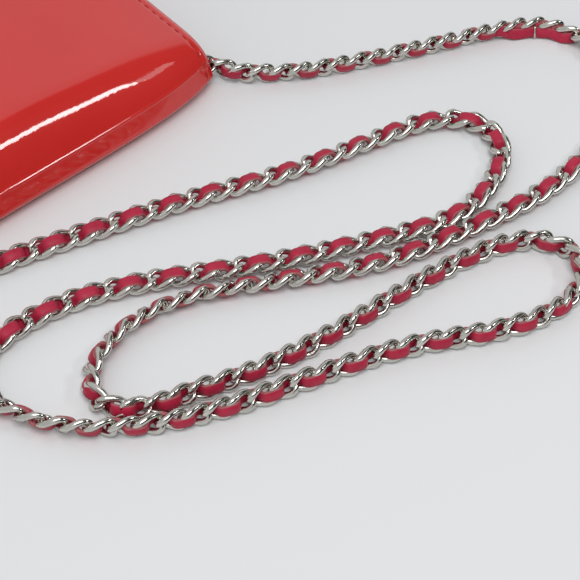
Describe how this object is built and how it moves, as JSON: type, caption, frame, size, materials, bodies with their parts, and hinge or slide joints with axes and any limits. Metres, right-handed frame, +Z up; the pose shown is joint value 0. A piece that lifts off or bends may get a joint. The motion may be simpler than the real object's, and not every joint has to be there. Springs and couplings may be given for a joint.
{
  "type": "clutch purse",
  "caption": "Slim flap clutch in patent leather, lying on its back, with card slots, a zip pocket, a magnetic snap and a long chain strap woven with leather.",
  "frame": {"origin": "middle of the bag's footprint, on the surface that it lies on", "axes": "+X along the flap's fold to the bag's right end, +Y from the fold to the base, +Z up from the back panel to the flap"},
  "size_m": [0.3271, 0.2549, 0.0268],
  "materials": {
    "patent_leather": "glossy patent, red",
    "lining_leather": "smooth, satin, dark red",
    "lining_fabric": "fine grosgrain, matt, dark red",
    "board": "pressed stiffening board",
    "zipper_tape": "woven tape, matt",
    "silver_metal": "polished silver-tone plating",
    "strap_lace": "smooth crimson lace with paler cut edges"
  },
  "bodies": {
    "bag": {"back_panel": "patent_leather", "back_board": "board", "back_lining": "lining_fabric", "base_panel": "patent_leather", "base_board": "board", "base_lining": "lining_fabric", "flap_fold": "patent_leather", "gusset_left": "patent_leather", "gusset_right": "patent_leather", "card_backing": "lining_leather", "card_slot_left_1": "lining_leather", "card_slot_left_2": "lining_leather", "card_slot_left_3": "lining_leather", "card_slot_right_1": "lining_leather", "card_slot_right_2": "lining_leather", "card_slot_right_3": "lining_leather", "pocket_wall_rear": "lining_fabric", "pocket_wall_front": "lining_fabric", "zipper_tape_rear": "zipper_tape", "zipper_tape_front": "zipper_tape", "zipper_teeth_rear": "silver_metal", "zipper_teeth_front": "silver_metal", "zipper_stop_left": "silver_metal", "zipper_stop_right": "silver_metal", "ring_tab_left": "lining_leather", "ring_tab_right": "lining_leather", "tab_rivet_left": "silver_metal", "tab_rivet_right": "silver_metal", "chain_strap": "strap_lace"},
    "flap": {"flap_outer": "patent_leather", "flap_board": "board", "flap_lining": "lining_leather", "snap_plate": "silver_metal", "snap_stud": "silver_metal"},
    "front": {"front_panel": "patent_leather", "front_board": "board", "front_lining": "lining_fabric", "snap_socket": "silver_metal", "snap_washer": "silver_metal"},
    "slider": {"zipper_slider": "silver_metal"},
    "pull": {"zipper_pull": "silver_metal"},
    "ring_left": {"d_ring_left": "silver_metal"},
    "ring_right": {"d_ring_right": "silver_metal"}
  },
  "joints": [
    {"name": "flap_open", "type": "hinge", "parent": "bag", "child": "flap", "pos_m": [0, -0.062, 0.016], "axis": [1, 0, 0], "range_deg": [0, 175], "deforming": ["flap_fold"]},
    {"name": "mouth_open", "type": "hinge", "parent": "bag", "child": "front", "pos_m": [0, 0.0588, 0.0225], "axis": [-1, 0, 0], "range_deg": [0, 14.5], "deforming": ["gusset_left", "gusset_right"]},
    {"name": "zipper_slide", "type": "slide", "parent": "bag", "child": "slider", "axis": [-1, 0, 0], "range_m": [0, 0.132]},
    {"name": "pull_swing", "type": "hinge", "parent": "slider", "child": "pull", "pos_m": [0.066, -0.0476, 0.01065], "axis": [0, 0, 1], "range_deg": [0, 180]},
    {"name": "ring_left_swing", "type": "hinge", "parent": "bag", "child": "ring_left", "pos_m": [-0.082, -0.0556, 0.0064], "axis": [0, 0, 1], "range_deg": [-15, 15]},
    {"name": "ring_right_swing", "type": "hinge", "parent": "bag", "child": "ring_right", "pos_m": [0.082, -0.0556, 0.0064], "axis": [0, 0, 1], "range_deg": [-15, 15]}
  ],
  "couplings": [
    {"joint": "mouth_open", "follows": "flap_open", "ratio": 0.08}
  ]
}
